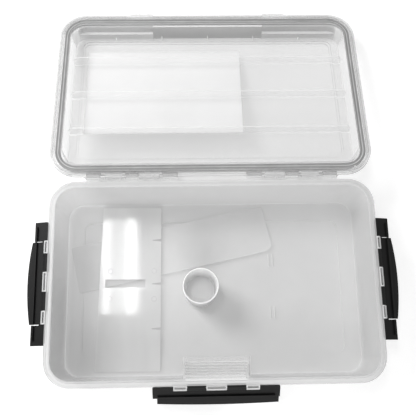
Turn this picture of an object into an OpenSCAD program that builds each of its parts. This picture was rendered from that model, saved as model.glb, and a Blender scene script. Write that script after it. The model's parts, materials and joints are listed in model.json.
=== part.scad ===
// Shallow gasketed utility box for tackle: a deep base and a hinged lid, open at rest.
// Origin: middle of the base's underside, on the table. +X to the right, -Y to the front
// latch, +Y to the hinge, +Z up. Millimetres.

/* [Case] */
// Width of the base over its rim, side to side
rim_w = 350; // [330:1:380]
// Depth of the base over its rim, front to back
rim_d = 216; // [208:1:240]
// Height of the base, from the table to the top of its sealing lip
base_h = 64; // [60:1:80]
// Corner radius of the base's rim, seen from above
corner_r = 28; // [24:1:40]
// Thickness of the moulded walls
wall = 2.2; // [1.8:0.1:2.8]
// Thickness of the base's floor
floor_t = 2.4; // [1.8:0.1:3]
// How far the floor stands in from the rim at each side
floor_inset = 14.3; // [13:0.1:18]
// Depth of the step round the middle of the floor
floor_step = 1.2; // [0.6:0.1:1.6]
// Half width of the floor's middle panel
panel_half_w = 145; // [120:1:148]
// Half depth of the floor's middle panel
panel_half_d = 75; // [60:1:78]

/* [Rim] */
// Width of the flat flange outside the sealing lip
flange_w = 5; // [4.6:0.1:6]
// Height of the sealing lip above the flange
lip_h = 1.4; // [1:0.1:1.8]
// Depth of the skirt that hangs from the flange's edge
skirt_h = 6; // [5:0.1:7]
// Gap between the closed lid and the flange
lid_gap = 0.3; // [0.25:0.05:0.5]

/* [Lid] */
// How far the lid's edge stands out past the base's rim
lid_overhang = 2.5; // [2:0.1:3]
// Height of the lid, from its rim to its top
lid_h = 25.5; // [24:0.5:34]
// Thickness of the lid's top
deck_t = 2; // [1.6:0.1:2.6]
// Height of the lid's outer band, which the latches hook over
band_h = 8; // [7.4:0.1:9]
// Depth of the shallow recess in the lid's top
deck_recess = 1.5; // [1:0.1:2]
// Depth of the channel that holds the seal
groove_depth = 5; // [4.6:0.1:5.4]
// Pitch of the ribs that cross the lid
rib_pitch = 49.75; // [40:0.25:52]
// How far the middle rib stands forward of the lid's middle
rib_shift = 4.2; // [0:0.1:8]
// Thickness of each crossing rib
rib_t = 1.4; // [1:0.1:2]
// Gap between the crossing ribs' free edges and the rim plane
rib_clear = 9; // [6:0.5:12]

/* [Hinge] */
// How far the hinge axis stands behind the base's rim
hinge_out = 4.85; // [4.7:0.05:5.2]
// Height of the hinge axis above the flange
hinge_up = 1.5; // [1.3:0.05:1.7]
// Radius of the hinge knuckles
knuckle_r = 3.2; // [3:0.1:3.4]
// Radius of the hinge pins
hinge_pin_r = 1.25; // [1:0.05:1.5]

/* [Latches] */
// Radius of the base's latch knuckles
latch_knuckle_r = 3.5; // [3.3:0.1:3.7]
// Radius of the latch pins
latch_pin_r = 1.2; // [1:0.05:1.4]
// Half length of each latch, at its ears
latch_half = 65; // [60:0.5:66]
// Thickness of the latch plate
latch_t = 2.2; // [1.8:0.1:2.6]
// How far the latches' hooks reach over the lid's band
hook_reach = 2.4; // [2:0.1:4]
// How far the front latch stands open
front_open = 130; // [105:1:135]
// How far each side latch stands open
side_open = 105; // [90:1:120]

/* [Loose pieces] */
// Height of the slotted divider when it stands, at its taller end
slotted_h = 71.3; // [60:0.1:80]
// How much lower its other end is
slotted_taper = 4.9; // [0:0.1:8]
// Height of the long divider when it stands
long_h = 53; // [45:1:60]
// Length of the long divider
long_len = 224; // [200:1:230]
// Angle at which the long divider lies
long_angle = 12.1; // [8:0.1:14]
// Thickness of both dividers
divider_t = 1.6; // [1.2:0.1:2]
// Distance from the slotted divider's foot to the left end of the floor
slotted_from_left = 31.2; // [20:0.1:40]
// Outer diameter of the cup's mouth
cup_d = 38.6; // [30:0.1:42]
// Height of the cup
cup_h = 42; // [30:1:55]
// Wall of the cup
cup_wall = 1.2; // [1:0.1:1.6]
// Width of the insert card under the lid's top
card_w = 184.8; // [150:0.1:200]
// Depth of the insert card
card_d = 117.5; // [90:0.1:130]

/* [Hidden] */

fine = 64;              // facets of a full circle on exact round parts
corner_n = 8;           // steps in each rounded corner of a shell
rest_gap = 0.25;        // a loose piece over what it lies on
slotted_gap = 0.5;      // the slotted divider's low end over the floor
pin_clear = 0.05;       // a pin in the knuckles that turn on it
pin_seat = 0.02;        // a pin in the knuckles that hold it
turn_gap = 0.4;         // between parts that turn past each other
side_gap = 0.4;         // between neighbouring knuckles
bite = 0.6;             // how far a joined feature runs into its wall

// heights in the base
flange_top = base_h - lip_h;
skirt_end = flange_top - skirt_h;
ring_floor = floor_t + floor_step;
lip_in = flange_w + wall;
wall_lean = 4.1;        // draft of the walls over their height
fillet_r = 3;           // where walls meet the floor
rib_in_x = 78;          // the floor's paired short ribs, in from the middle panel's edge
rib_in_y = 45.5;
wall_foot = floor_inset - fillet_r;

// base knuckles and what they leave for the latches, along each latch
knuckle_mid = 10.3;
knuckle_in = 30;
knuckle_out = 43.6;
latch_knuckles = [[-knuckle_mid, knuckle_mid], [knuckle_in, knuckle_out],
    [-knuckle_out, -knuckle_in]];
latch_teeth = [[knuckle_mid, knuckle_in], [-knuckle_in, -knuckle_mid]];
latch_out = 0.8;        // latch axis beyond the rim
latch_z = flange_top - latch_knuckle_r;
tooth_r = latch_knuckle_r - 0.2;
front_axis = rim_d / 2 + latch_out;
side_axis = rim_w / 2 + latch_out;

// spans of the hinge knuckles: in from each end of the hinge, and then from the middle
hinge_in = 39;          // an end of the hinge, in from the rim's end
base_spans = [[98.5, 82], [56, 42], [15.5, 0]];
lid_spans = [[79, 56.8], [39, 20]];
hinge_end = rim_w / 2 - hinge_in;
base_knuckles = [for (s = base_spans) [hinge_end - s[0], hinge_end - s[1]]];
lid_knuckles = [for (s = lid_spans) [hinge_end - s[0], hinge_end - s[1]]];
hinge_y = rim_d / 2 + hinge_out;
hinge_z = flange_top + hinge_up;
strip_t = 1.9;
strip_top = hinge_z - knuckle_r - 0.6;
strip_half = hinge_end - 2.5;   // the hinge strip's half width at the rim
strip_flare = 6.5;      // what each of its ends gains at its outer edge

// the lid, in its closed place
lid_z = flange_top + lid_gap;
lid_hw = rim_w / 2 + lid_overhang;
lid_hd = rim_d / 2 + lid_overhang;
lid_r = corner_r + lid_overhang;
skin = 2;               // thickness of the lid band's own walls
band_in = 11.8;         // the lid's wall starts this far in from its edge
groove_out = 5.6;
groove_in = 11.4;
lid_lip = 13.4;
deck_in = 15.8;
top_in = 16.2;
recess_in_x = 26.5;     // the shallow recess in the lid's top, in from the lid's edge
recess_in_front = 24.5;
recess_in_rear = 33;
recess_half_w = lid_hw - recess_in_x;
recess_front = lid_hd - recess_in_front;
recess_rear = lid_hd - recess_in_rear;
step_in = 110.5;        // where the tall middle of the lid's front wall ends
tick_in = 64.5;         // the outermost short ribs on the lid's long walls
inner_deck = lid_h - deck_t;

// the open lid rests on the far edge of its top
far_a = hinge_y + lid_hd - top_in;
far_b = lid_z + lid_h - hinge_z;
rest_lift = 0.35;
lid_past = asin((hinge_z - rest_lift) / norm([far_a, far_b])) - atan2(far_b, far_a);
lid_open = 180 + lid_past;

// a latch in its closed place, w outward and v up from its axis
plate_in = lid_overhang - latch_out + turn_gap;
plate_out = plate_in + latch_t;
hook_v = lid_z + band_h - latch_z + 0.35;
hook_t = 2.2;
hook_half = latch_half - 5;
ear_v = hook_v + hook_t + 1.4;
slit_w = 1;
ear_clip = 3;           // the cut corners of a latch's ears

// the front finger recess under the latch
recess_x = 1;
recess_half = 32.3;
recess_top = skirt_end - 3.6;
recess_low = 14;
recess_deep = 27.2;

// where the dividers lie
floor_hw = rim_w / 2 - floor_inset;
floor_hd = rim_d / 2 - floor_inset;
lie_gap = 0.6;
long_x = -floor_hw + lie_gap + long_len / 2 * cos(long_angle) + long_h / 2 * sin(long_angle);
long_y = floor_hd - lie_gap - long_len / 2 * sin(long_angle) - long_h / 2 * cos(long_angle);
slotted_len = 2 * floor_hd - 4.4;
slotted_turn = -0.55;
slotted_x = -floor_hw + slotted_from_left + slotted_h / 2;
// the near edge of the long divider under the slotted one, and the tilt it gives
function long_edge(x) = long_y + (x - long_x) * tan(long_angle) - long_h / 2 / cos(long_angle);
slotted_near = long_edge(slotted_x - slotted_h / 2 - 2);
slotted_tilt = atan((divider_t + 3 * rest_gap - slotted_gap)
    / (slotted_near + slotted_len / 2));

cup_x = -14;
cup_room = 7.6;
cup_y = long_edge(cup_x) - (cup_d / 2 + cup_room) / cos(long_angle);
card_in_x = 4.6;        // the card's edges, in from the lid recess's
card_in_y = 12.85;
card_x = -recess_half_w + card_in_x + card_w / 2;
card_y = -recess_front + card_in_y + card_d / 2;

// ---------------------------------------------------------------- shared shapes

function ring(hw, hd, r, z) = [for (q = [0:3], i = [0:corner_n])
    let (a = 90 * (q + i / corner_n), sx = q == 0 || q == 3 ? 1 : -1, sy = q < 2 ? 1 : -1)
    [sx * (hw - r) + r * cos(a), sy * (hd - r) + r * sin(a), z]];

// Rings from a list of [inset, height], stacked into one closed skin
module ring_stack(hw, hd, r, profile, tube = false) {
    n = 4 * (corner_n + 1);
    m = len(profile);
    points = [for (p = profile) each ring(hw - p[0], hd - p[0], r - p[0], p[1])];
    sides = [for (k = [0:(tube ? m - 1 : m - 2)], i = [0:n - 1])
        let (j = (i + 1) % n, up = (k + 1) % m)
        [k * n + i, up * n + i, up * n + j, k * n + j]];
    first = [for (i = [0:n - 1]) i];
    last = [for (i = [n - 1:-1:0]) (m - 1) * n + i];
    polyhedron(points, tube ? sides : concat([first], sides, [last]), convexity = 8);
}

module rounded_plate(x0, x1, y0, y1, r, t) {
    linear_extrude(t) union() {
        translate([x0 + r, y0]) square([x1 - x0 - 2 * r, y1 - y0]);
        translate([x0, y0 + r]) square([x1 - x0, y1 - y0 - 2 * r]);
        for (x = [x0 + r, x1 - r], y = [y0 + r, y1 - r])
            translate([x, y]) circle(r, $fn = fine);
    }
}

// A cylinder along X between two places
module rod(x0, x1, r) {
    translate([x0, 0, 0]) rotate([0, 90, 0]) cylinder(h = x1 - x0, r = r, $fn = fine);
}

// A profile in Y and Z, drawn out along X
module along_x(x0, x1, points) {
    translate([x0, 0, 0]) rotate([90, 0, 90]) linear_extrude(x1 - x0) polygon(points);
}

// Puts its children on the latch axis of the front (0), left (-90) or right (90) side
module at_latch(side) {
    reach = side == 0 ? front_axis : side_axis;
    rotate([0, 0, side]) translate([0, -reach, latch_z]) children();
}

module open_lid() {
    translate([0, hinge_y, hinge_z]) rotate([-lid_open, 0, 0])
        translate([0, -hinge_y, -hinge_z]) children();
}

// ---------------------------------------------------------------- base

module base_walls() {
    ring_stack(rim_w / 2, rim_d / 2, corner_r, [
        [floor_inset + 0.8, floor_step], [wall_foot + 1.2, floor_step],
        [wall_foot - 0.8, floor_step + 0.8], [wall_foot - wall, floor_step + 3],
        [flange_w, flange_top - wall], [skin, flange_top - wall],
        [skin, skirt_end], [0.3, skirt_end], [0, skirt_end + 0.3],
        [0, flange_top - 0.5], [0.5, flange_top],
        [flange_w, flange_top], [flange_w + 0.3, base_h - 0.4],
        [flange_w + 0.7, base_h], [lip_in - 0.4, base_h], [lip_in, base_h - 0.4],
        [wall_foot, ring_floor + fillet_r],
        [wall_foot + 0.23 * fillet_r, ring_floor + 0.36 * fillet_r],
        [wall_foot + 0.62 * fillet_r, ring_floor + 0.08 * fillet_r],
        [floor_inset, ring_floor]]);
}

// The lump that the finger recess makes inside the front wall
module recess_lump() {
    y = -rim_d / 2;
    along_x(recess_x - recess_half - wall, recess_x + recess_half + wall, [
        [y + flange_w + 1.3, recess_top + wall], [y + recess_deep + wall, recess_top + wall],
        [y + recess_deep + wall, recess_top - 7], [y + wall_foot + wall, recess_low - wall],
        [y + wall_foot - 1.4, recess_low - wall]]);
}

module recess_void() {
    y = -rim_d / 2;
    along_x(recess_x - recess_half, recess_x + recess_half, [
        [y - 1, recess_top], [y + recess_deep, recess_top],
        [y + recess_deep, recess_top - 6], [y + wall_foot - 1, recess_low],
        [y - 1, recess_low]]);
}

// Grip bars across the recess's sloping back
module recess_bars() {
    y = -rim_d / 2;
    slope = [recess_deep - wall_foot + 1, recess_top - 6 - recess_low];
    for (i = [1:4]) let (t = i / 5)
        translate([recess_x, y + wall_foot - 1 + slope[0] * t, recess_low + slope[1] * t])
            rotate([atan2(slope[1], slope[0]), 0, 0])
                cube([2 * recess_half + 1, 1.4, 2], center = true);
}

module latch_seats(side) {
    at_latch(side) for (s = latch_knuckles) {
        rod(s[0], s[1], latch_knuckle_r);
        translate([s[0], 0, skirt_end - latch_z])
            cube([s[1] - s[0], latch_out + bite, flange_top - skirt_end]);
    }
}

// The pin's bore, and room in the rim for a latch's teeth to turn in
module latch_room(side) {
    at_latch(side) {
        rod(-knuckle_out - 1, knuckle_out + 1, latch_pin_r + pin_seat);
        for (s = latch_teeth) rod(s[0], s[1], tooth_r + turn_gap);
    }
}

module hinge_seats() {
    difference() {
        union() {
            translate([0, 0, strip_top - strip_t]) linear_extrude(strip_t) polygon([
                [-strip_half, rim_d / 2 - bite], [strip_half, rim_d / 2 - bite],
                [strip_half + strip_flare, hinge_y + 0.85],
                [-strip_half - strip_flare, hinge_y + 0.85]]);
            for (s = base_knuckles, m = [0, 1]) mirror([m, 0, 0]) {
                translate([0, hinge_y, hinge_z]) rod(s[0], s[1], knuckle_r);
                translate([s[0], rim_d / 2 - bite, strip_top - strip_t])
                    cube([s[1] - s[0], hinge_out + bite, hinge_z - strip_top + strip_t - 2.1]);
            }
        }
        translate([0, hinge_y, hinge_z]) rod(-rim_w / 2, rim_w / 2, hinge_pin_r + pin_seat);
    }
}

module floor_ribs() {
    for (x = [1, -1] * (panel_half_w - rib_in_x), y = [1, -1] * (panel_half_d - rib_in_y),
        s = [-2.3, 2.3])
        translate([x + s, y, floor_t + 0.4]) cube([1.2, 14, 1.4], center = true);
}

module base_shell() {
    color([0.84, 0.85, 0.86, 0.75]) difference() {
        union() {
            difference() {
                union() {
                    base_walls();
                    recess_lump();
                    rounded_plate(-panel_half_w - 2, panel_half_w + 2,
                        -panel_half_d - 2, panel_half_d + 2, 10, floor_step + bite);
                }
                recess_void();
                translate([0, 0, floor_t])
                    rounded_plate(-panel_half_w, panel_half_w, -panel_half_d, panel_half_d,
                        8, floor_step + bite);
            }
            recess_bars();
            for (side = [0, -90, 90]) latch_seats(side);
            hinge_seats();
            floor_ribs();
        }
        for (side = [0, -90, 90]) latch_room(side);
    }
}

// ---------------------------------------------------------------- lid

module lid_walls() {
    translate([0, 0, lid_z]) ring_stack(lid_hw, lid_hd, lid_r, [
        [deck_in + 2.4, inner_deck], [deck_in + 0.7, inner_deck - 0.7],
        [deck_in, inner_deck - 2.4], [lid_lip, 0.4], [lid_lip - 0.4, 0],
        [groove_in, 0], [groove_in, groove_depth], [groove_out, groove_depth],
        [groove_out, 0], [groove_out - skin + 0.2, 0],
        [groove_out - skin + 0.2, band_h - skin], [skin, band_h - skin],
        [skin, 0], [0.4, 0], [0, 0.4], [0, band_h - 0.8], [0.8, band_h],
        [band_in - 0.6, band_h], [band_in, band_h + 0.6],
        [top_in - 2.6, lid_h - 2.6], [top_in - 1.8, lid_h - 0.8], [top_in, lid_h]]);
}

module lid_recess() {
    translate([0, 0, lid_z + lid_h - deck_recess])
        rounded_plate(-recess_half_w, recess_half_w, -recess_front, recess_rear, 7,
            deck_recess + 1);
}

// The deck under the recess keeps its thickness
module lid_recess_floor() {
    translate([0, 0, lid_z + inner_deck - deck_recess])
        rounded_plate(-recess_half_w - deck_t, recess_half_w + deck_t,
            -recess_front - deck_t, recess_rear + deck_t, 8, deck_recess + bite);
}

module lid_ribs() {
    low = lid_z + rib_clear;
    high = lid_z + inner_deck + bite;
    mid = high - deck_recess;
    half_low = lid_hw - lid_lip - 7;
    half_high = lid_hw - lid_lip - 1;
    half_mid = recess_half_w + deck_t - bite;
    for (i = [-1, 0, 1])
        translate([0, i * rib_pitch - rib_shift + rib_t / 2, 0]) rotate([90, 0, 0])
            linear_extrude(rib_t) polygon([
                [-half_low, low], [half_low, low], [half_high, low + 6], [half_high, high],
                [half_mid, high], [half_mid, mid], [-half_mid, mid], [-half_mid, high],
                [-half_high, high], [-half_high, low + 6]]);
}

// Short upright ribs along the long walls, and the stepped ledges of the front wall
module lid_wall_details() {
    low = lid_z + lid_h / 2;
    step = lid_hw - step_in;
    tick = (lid_hw - tick_in) / 2;
    for (i = [-2:2], s = [1, -1])
        translate([i * tick - 0.6, s > 0 ? lid_hd - deck_in - 3 : -lid_hd + deck_in - 2, low + 6])
            cube([1.2, 5, lid_z + inner_deck + bite - low - 6]);
    for (m = [0, 1]) mirror([m, 0, 0])
        translate([step, -lid_hd + lid_lip + 0.8, low])
            cube([lid_hw - lid_lip - 7 - step, 4.2, lid_z + inner_deck + bite - low]);
    translate([-step, -lid_hd + lid_lip - 0.6, lid_z + 2])
        cube([2 * step, 3.4, inner_deck + bite - 2]);
}

// Guards on the lid's front edge, one each side of the latch
module lid_tabs() {
    for (m = [0, 1]) mirror([m, 0, 0])
        translate([0, 0, lid_z + 0.4]) linear_extrude(band_h - 1.2) polygon([
            [latch_half + 2, -lid_hd + bite], [latch_half + 2, -lid_hd - 2.6],
            [latch_half + 25, -lid_hd - 2.6], [latch_half + 36, -lid_hd + bite]]);
}

module lid_hinge() {
    for (s = lid_knuckles, m = [0, 1]) mirror([m, 0, 0]) {
        translate([0, hinge_y, hinge_z]) rod(s[0], s[1], knuckle_r);
        translate([s[0], lid_hd - skin, hinge_z])
            cube([s[1] - s[0], hinge_y - lid_hd + skin, knuckle_r]);
    }
}

module lid_shell() {
    color([0.88, 0.89, 0.9, 0.7]) open_lid() difference() {
        union() {
            difference() {
                union() {
                    lid_walls();
                    lid_recess_floor();
                }
                lid_recess();
            }
            lid_ribs();
            lid_wall_details();
            lid_tabs();
            lid_hinge();
        }
        translate([0, hinge_y, hinge_z]) rod(-rim_w / 2, rim_w / 2, hinge_pin_r + pin_clear);
        for (s = base_knuckles, m = [0, 1]) mirror([m, 0, 0])
            translate([0, hinge_y, hinge_z])
                rod(s[0] - side_gap, s[1] + side_gap, knuckle_r + turn_gap);
    }
}

module lid_gasket() {
    low = lip_h - lid_gap + 0.3;
    high = groove_depth - 0.1;
    in0 = groove_out + 0.15;
    in1 = groove_in - 0.15;
    color([0.62, 0.63, 0.64]) open_lid() translate([0, 0, lid_z])
        ring_stack(lid_hw, lid_hd, lid_r, [
            [in1 - 0.9, low], [in0 + 0.9, low], [in0, low + 0.9], [in0, high],
            [in1, high], [in1, low + 0.9]], tube = true);
}

module insert_card() {
    color([0.97, 0.97, 0.97]) open_lid()
        translate([card_x - card_w / 2, card_y - card_d / 2,
            lid_z + lid_h - deck_recess + 0.03])
            cube([card_w, card_d, 0.4]);
}

// ---------------------------------------------------------------- hinge pins

module hinge_pin(sign) {
    first = base_knuckles[0][0];
    last = base_knuckles[len(base_knuckles) - 1][1];
    color([0.75, 0.76, 0.77]) translate([0, hinge_y, hinge_z])
        rod(sign > 0 ? first : -last, sign > 0 ? last : -first, hinge_pin_r);
}

module hinge_pin_left() { hinge_pin(-1); }

module hinge_pin_right() { hinge_pin(1); }

// ---------------------------------------------------------------- latches

// The plate's outline: ears at both ends, and a grip between them with a bowed edge.
// The grip runs from grip[0] to grip[1].
module latch_outline(grip, end_v, mid_v, low_v) {
    steps = 16;
    bow = [for (i = [0:steps]) let (t = i / steps)
        [grip[0] + t * (grip[1] - grip[0]), end_v + 4 * (mid_v - end_v) * t * (1 - t)]];
    polygon(concat([[-latch_half + ear_clip, low_v], [-latch_half, low_v + ear_clip * 0.6],
        [-latch_half, ear_v], [grip[0], ear_v]], bow,
        [[grip[1], ear_v], [latch_half, ear_v], [latch_half, low_v + ear_clip * 0.6],
        [latch_half - ear_clip, low_v]]));
}

// A latch in its closed place: front one drawn, axis along X, outward is -Y
module latch_body(grip, end_v, mid_v, opened, slit) {
    low_v = max(0.2, (-0.3 - plate_in * cos(opened)) / sin(opened));
    difference() {
        union() {
            translate([0, -plate_in, 0]) rotate([90, 0, 0]) linear_extrude(latch_t)
                latch_outline(grip, end_v, mid_v, low_v);
            translate([-hook_half, -plate_in - bite, hook_v])
                cube([2 * hook_half, hook_reach + bite, hook_t]);
            for (s = latch_teeth) {
                rod(s[0] + side_gap, s[1] - side_gap, tooth_r);
                translate([s[0] + side_gap, -plate_out, 0])
                    cube([s[1] - s[0] - 2 * side_gap, plate_out, tooth_r]);
            }
        }
        rod(-latch_half, latch_half, latch_pin_r + pin_clear);
        for (s = latch_knuckles)
            rod(s[0] - side_gap, s[1] + side_gap, latch_knuckle_r + turn_gap);
        if (slit) for (s = [1, -1])
            translate([s * (grip[1] + slit_w / 2) - slit_w / 2, -plate_out - 1, 7])
                cube([slit_w, plate_out + hook_reach + 3, mid_v]);
    }
}

module latch_front() {
    color([0.16, 0.16, 0.17]) at_latch(0) rotate([front_open, 0, 0])
        latch_body([4.5 - latch_half, latch_half - 1], ear_v + 7, ear_v + 8.8, front_open, false);
}

module side_latch(side) {
    color([0.16, 0.16, 0.17]) at_latch(side) rotate([side_open, 0, 0])
        latch_body([-1, 1] * (knuckle_out - 0.3), ear_v + 2.2, ear_v + 6.2, side_open, true);
}

module latch_left() { side_latch(-90); }

module latch_right() { side_latch(90); }

module latch_pin(side) {
    color([0.2, 0.2, 0.21]) at_latch(side) rod(-knuckle_out, knuckle_out, latch_pin_r);
}

module latch_pin_front() { latch_pin(0); }

module latch_pin_left() { latch_pin(-90); }

module latch_pin_right() { latch_pin(90); }

// ---------------------------------------------------------------- loose pieces

// Lies on the long divider: foot to the left, slit edge to the right
module divider_slotted() {
    slit_d = 9.7;
    slot_end = slotted_h / 2 - 17.5;
    slot_l = 44.9;
    color([0.92, 0.92, 0.93, 0.8])
        translate([slotted_x, -slotted_len / 2, ring_floor + slotted_gap])
        rotate([slotted_tilt, 0, 0]) translate([0, slotted_len / 2, 0])
        rotate([0, 0, slotted_turn]) {
            difference() {
                rounded_plate(-slotted_h / 2, slotted_h / 2, -slotted_len / 2, slotted_len / 2,
                    2, divider_t);
                translate([0, 0, -1]) linear_extrude(divider_t + 2) polygon([
                    [-slotted_h / 2 - 1, -slotted_len / 2], [-slotted_h / 2, -slotted_len / 2],
                    [-slotted_h / 2 + slotted_taper, slotted_len / 2 + 1],
                    [-slotted_h / 2 - 1, slotted_len / 2 + 1]]);
                for (i = [-1, 0, 1]) translate([slotted_h / 2, rib_shift + i * rib_pitch, -1])
                    linear_extrude(divider_t + 2) polygon([
                        [1, 1.6], [1, -1.6], [-slit_d, -rib_t / 4], [-slit_d, rib_t / 4]]);
                translate([slot_end - slot_l, rib_shift - 4, -1])
                    cube([slot_l, 9, divider_t + 2]);
            }
            for (x = [slot_end - slot_l + 5.2, slot_end + 9.7], y = [14.2, -17])
                translate([x, y + rib_shift, divider_t - 0.2])
                    cylinder(h = 0.5, r = 3, $fn = fine);
        }
}

module divider_long() {
    clip = 8;
    color([0.9, 0.9, 0.91, 0.8])
        translate([long_x, long_y, ring_floor + rest_gap]) rotate([0, 0, long_angle])
        difference() {
            rounded_plate(-long_len / 2, long_len / 2, -long_h / 2, long_h / 2, 2.5, divider_t);
            translate([long_len / 2, -long_h / 2, -1]) linear_extrude(divider_t + 2)
                polygon([[-clip, -1], [1, -1], [1, clip * 0.6]]);
        }
}

module sample_cup() {
    top = cup_d / 2;
    foot = top - 1.6;
    color([0.96, 0.96, 0.96]) translate([cup_x, cup_y, floor_t + rest_gap])
        rotate_extrude($fn = 96) polygon([
            [0, 0], [foot - 1, 0], [foot, 1], [top - 0.5, cup_h - 1.6], [top, cup_h - 1.4],
            [top, cup_h - 0.3], [top - 0.3, cup_h], [top - cup_wall, cup_h],
            [top - cup_wall - 0.3, cup_h - 0.5], [foot - cup_wall, 1.8],
            [foot - cup_wall - 0.8, cup_wall], [0, cup_wall]]);
}

base_shell();
lid_shell();
lid_gasket();
hinge_pin_left();
hinge_pin_right();
latch_front();
latch_left();
latch_right();
latch_pin_front();
latch_pin_left();
latch_pin_right();
divider_slotted();
divider_long();
sample_cup();
insert_card();
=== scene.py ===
"""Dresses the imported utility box: a translucent sealed box for tackle, open, with its loose pieces.

Every piece is built where it stands in the open box, from sizes in millimetres, and rides on its
CAD body. The lid and the latches are drawn shut and then turned open about the frame's own joints.
"""

import json
import math

import bmesh
import bpy
from bpy.props import FloatProperty, FloatVectorProperty, PointerProperty
from mathutils import Matrix, Vector


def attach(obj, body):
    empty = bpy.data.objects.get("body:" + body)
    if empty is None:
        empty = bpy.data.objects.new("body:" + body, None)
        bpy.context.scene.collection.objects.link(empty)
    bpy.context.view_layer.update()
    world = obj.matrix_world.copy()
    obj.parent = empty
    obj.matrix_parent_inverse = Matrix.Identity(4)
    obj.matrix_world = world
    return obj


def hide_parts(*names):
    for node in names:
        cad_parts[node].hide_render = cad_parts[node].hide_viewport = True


bl_info = {
    "name": "Sealed Utility Box",
    "version": (1, 0, 0),
    "blender": (4, 5, 0),
    "location": "View3D > Sidebar > Utility Box",
    "description": "Builds an open, sealed utility box with latches, dividers, a cup and a card",
    "category": "Object",
}

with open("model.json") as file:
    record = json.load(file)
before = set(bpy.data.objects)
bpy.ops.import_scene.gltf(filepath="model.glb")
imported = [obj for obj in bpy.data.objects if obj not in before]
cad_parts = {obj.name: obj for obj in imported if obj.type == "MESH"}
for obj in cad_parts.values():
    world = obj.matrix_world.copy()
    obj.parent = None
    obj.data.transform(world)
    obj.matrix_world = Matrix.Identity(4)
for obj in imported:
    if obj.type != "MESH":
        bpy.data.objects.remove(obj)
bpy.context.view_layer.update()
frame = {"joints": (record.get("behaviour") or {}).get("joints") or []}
JOINTS = {j["name"]: j for j in frame["joints"]}

MM = 0.001
# Steps round each corner from above, and along each small arc of a profile.
CORNER_STEPS, ARC_STEPS = 18, 4

# In millimetres: how far the foot of the walls stands out past the floor, the gap under the shut
# lid, how far the lid's ribs stand off its middle, and how far loose pieces clear what they lie on.
FOOT_OUT = 3
LID_GAP = 0.3
RIB_SHIFT = 4.2
REST = 0.25


def joint_place(name):
    """A joint's point in millimetres."""
    return Vector(JOINTS[name]["pos_m"]) / MM


def opened_by(name):
    """How far a joint stands open at rest, in degrees."""
    return -JOINTS[name]["range_deg"][0]


# ------------------------------------------------------------------ sizes and colours


def length(name, description, default):
    return FloatProperty(name=name, description=description, default=default, min=0.0001,
                         precision=4, subtype="DISTANCE", unit="LENGTH")


def colour(name, description, default):
    return FloatVectorProperty(name=name, description=description, default=default, size=3,
                               min=0.0, max=1.0, subtype="COLOR")


def share(name, description, default):
    return FloatProperty(name=name, description=description, default=default, min=0.0, max=1.0,
                         subtype="FACTOR")


class BaseSizes(bpy.types.PropertyGroup):
    """Sizes of the deep base"""

    rim_width: length("Rim Width", "Width of the base over its rim", 0.350)
    rim_depth: length("Rim Depth", "Depth of the base over its rim", 0.216)
    height: length("Height", "Height from the table to the top of the sealing lip", 0.064)
    corner_radius: length("Corner Radius", "Radius of the rim's corners from above", 0.028)
    wall: length("Wall", "Thickness of the moulded walls", 0.0022)
    floor: length("Floor", "Thickness of the floor's middle panel", 0.0024)
    floor_inset: length("Floor Inset", "How far the floor stands in from the rim", 0.0143)
    skirt: length("Skirt", "Depth of the skirt under the flange", 0.006)


class LidSizes(bpy.types.PropertyGroup):
    """Sizes of the lid"""

    overhang: length("Overhang", "How far the lid's edge passes the base's rim", 0.0025)
    height: length("Height", "Height from the lid's edge to its top", 0.0255)
    band: length("Band", "Height of the band that the latches hook over", 0.008)
    top: length("Top", "Thickness of the lid's top", 0.002)
    rib_pitch: length("Rib Pitch", "Distance between the ribs that cross the lid", 0.04975)
    rib: length("Rib", "Thickness of each crossing rib", 0.0014)


class LatchSizes(bpy.types.PropertyGroup):
    """Sizes of the snap latches"""

    length: length("Length", "Length of each latch over its ears", 0.130)
    plate: length("Plate", "Thickness of the latch plate", 0.0022)
    knuckle: length("Knuckle", "Radius of the base's latch knuckles", 0.0035)
    pin: length("Pin", "Radius of the latch pins", 0.0012)


class LooseSizes(bpy.types.PropertyGroup):
    """Sizes of the loose pieces"""

    divider: length("Divider", "Thickness of the divider plates", 0.0016)
    slotted_height: length("Slotted Height", "Height of the slotted divider's taller end", 0.0713)
    slotted_taper: length("Slotted Taper", "How much lower its other end is", 0.0049)
    long_length: length("Long Length", "Length of the long divider", 0.224)
    long_height: length("Long Height", "Height of the long divider", 0.053)
    cup_mouth: length("Cup Mouth", "Outer diameter of the cup's mouth", 0.0386)
    cup_height: length("Cup Height", "Height of the cup", 0.042)
    card_width: length("Card Width", "Width of the card under the lid's top", 0.1848)
    card_depth: length("Card Depth", "Depth of the card under the lid's top", 0.1175)


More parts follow.
